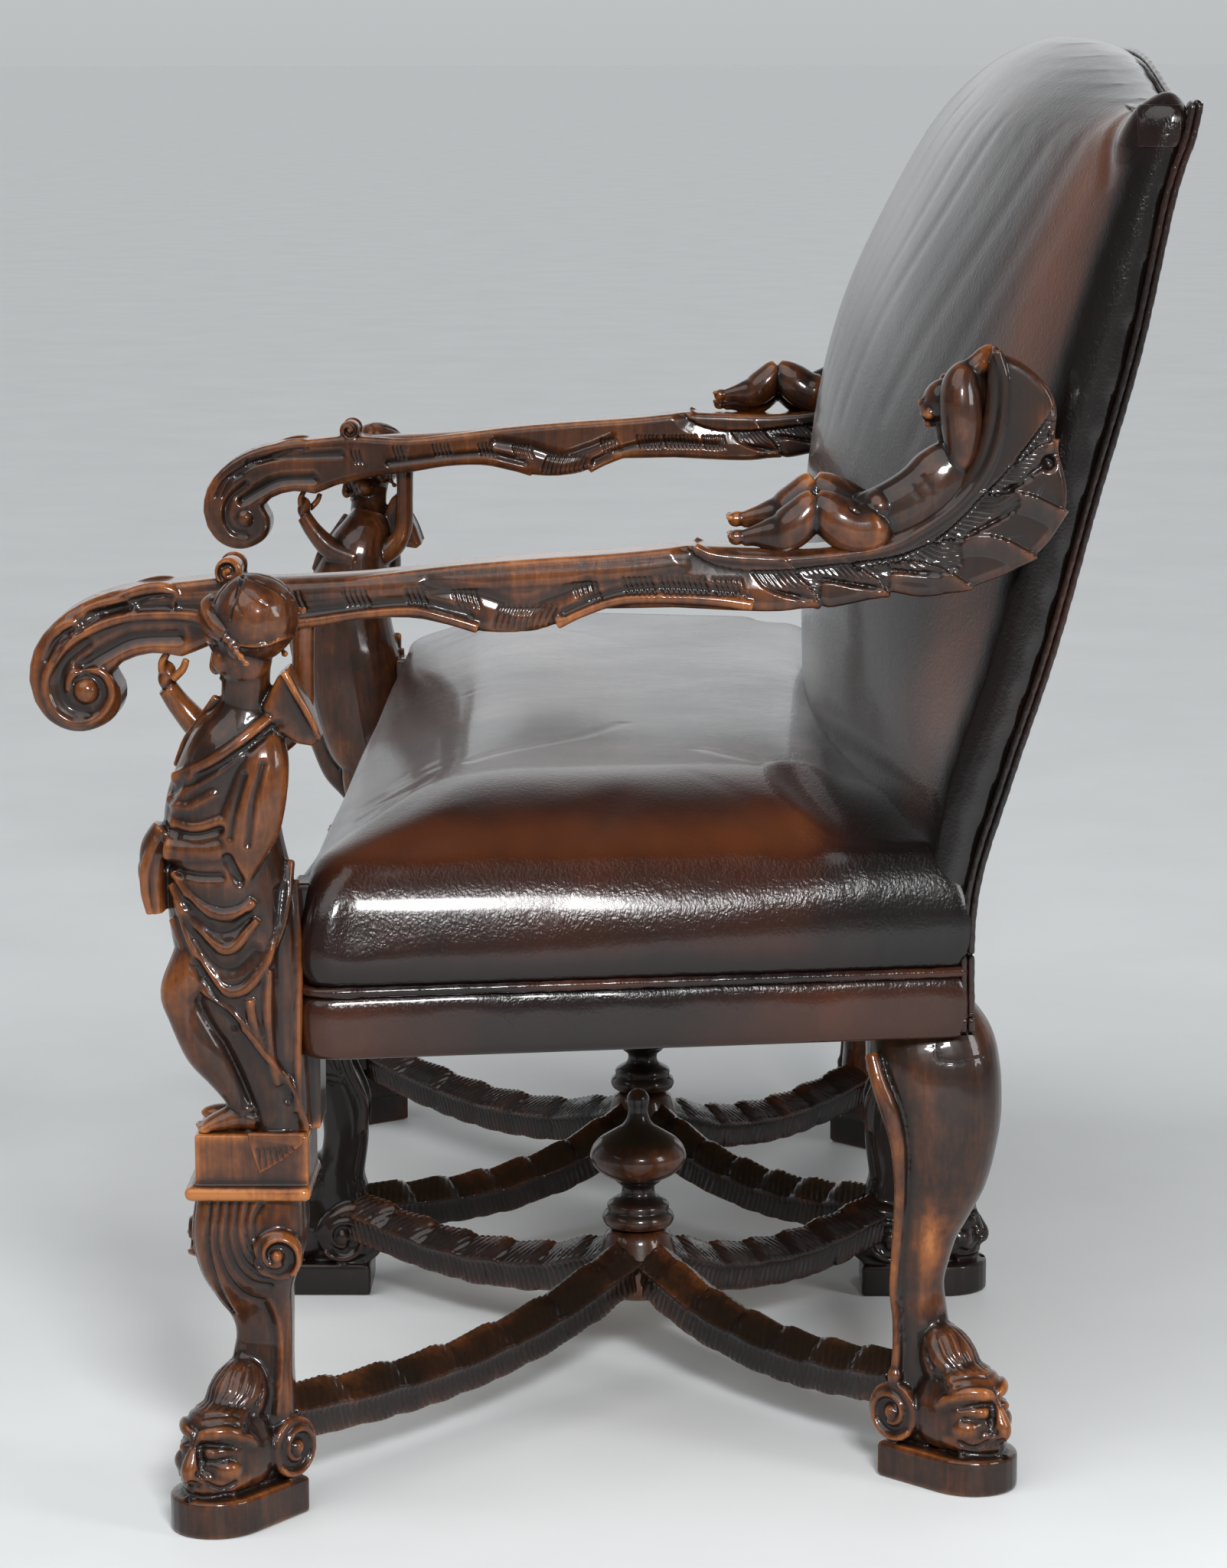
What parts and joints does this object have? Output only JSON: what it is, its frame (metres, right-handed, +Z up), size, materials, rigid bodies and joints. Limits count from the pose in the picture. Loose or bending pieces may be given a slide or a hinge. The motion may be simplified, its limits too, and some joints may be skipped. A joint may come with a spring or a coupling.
{
  "type": "carved leather bench with arms",
  "caption": "Carved walnut settee bench with leather seat and camel back, figure arm posts, scrolled arms, mask-footed cabriole legs and finialled cross stretchers, for sitting.",
  "frame": {"origin": "on the floor under the middle of the overall box", "axes": "+X along the bench, to the right of someone facing its front; -Y the front, where the sitters' knees are; +Z up"},
  "size_m": [1.432, 0.8879, 1.14],
  "materials": {
    "walnut": "waxed, dark stained, worn lighter on high spots",
    "frame_wood": "sawn, bare",
    "leather": "hand-dyed, polished",
    "webbing": "woven jute",
    "hessian": "coarse weave",
    "stuffing": "curled hair",
    "steel": "bare wire"
  },
  "bodies": {
    "root": {"arm_cherub_left": "walnut", "arm_cherub_right": "walnut", "arm_dowels": "frame_wood", "arm_figure_left": "walnut", "arm_figure_right": "walnut", "arm_left": "walnut", "arm_post_left": "walnut", "arm_post_right": "walnut", "arm_right": "walnut", "back_bottom_rail": "frame_wood", "back_cover": "leather", "back_hessian": "hessian", "back_middle_post": "frame_wood", "back_panel": "leather", "back_piping_left": "leather", "back_piping_right": "leather", "back_post_left": "frame_wood", "back_post_right": "frame_wood", "back_stuffing": "stuffing", "back_top_rail": "frame_wood", "back_webbing": "webbing", "corner_block_screws": "steel", "corner_blocks": "frame_wood", "finial_left": "walnut", "finial_right": "walnut", "frame_dowels": "frame_wood", "front_leg_left": "walnut", "front_leg_middle": "walnut", "front_leg_right": "walnut", "leg_dowels": "frame_wood", "rear_leg_left": "walnut", "rear_leg_middle": "walnut", "rear_leg_right": "walnut", "seat_border": "leather", "seat_bottom_cloth": "hessian", "seat_cover": "leather", "seat_cross_rail": "frame_wood", "seat_hessian": "hessian", "seat_piping": "leather", "seat_rail_front": "frame_wood", "seat_rail_rear": "frame_wood", "seat_rail_side_left": "frame_wood", "seat_rail_side_right": "frame_wood", "seat_stuffing": "stuffing", "seat_webbing": "webbing", "strap_tacks": "steel", "stretcher_dowels": "frame_wood", "stretcher_hub_left": "walnut", "stretcher_hub_right": "walnut", "stretcher_inner_front_left": "walnut", "stretcher_inner_front_right": "walnut", "stretcher_inner_rear_left": "walnut", "stretcher_inner_rear_right": "walnut", "stretcher_outer_front_left": "walnut", "stretcher_outer_front_right": "walnut", "stretcher_outer_rear_left": "walnut", "stretcher_outer_rear_right": "walnut"}
  },
  "joints": []
}
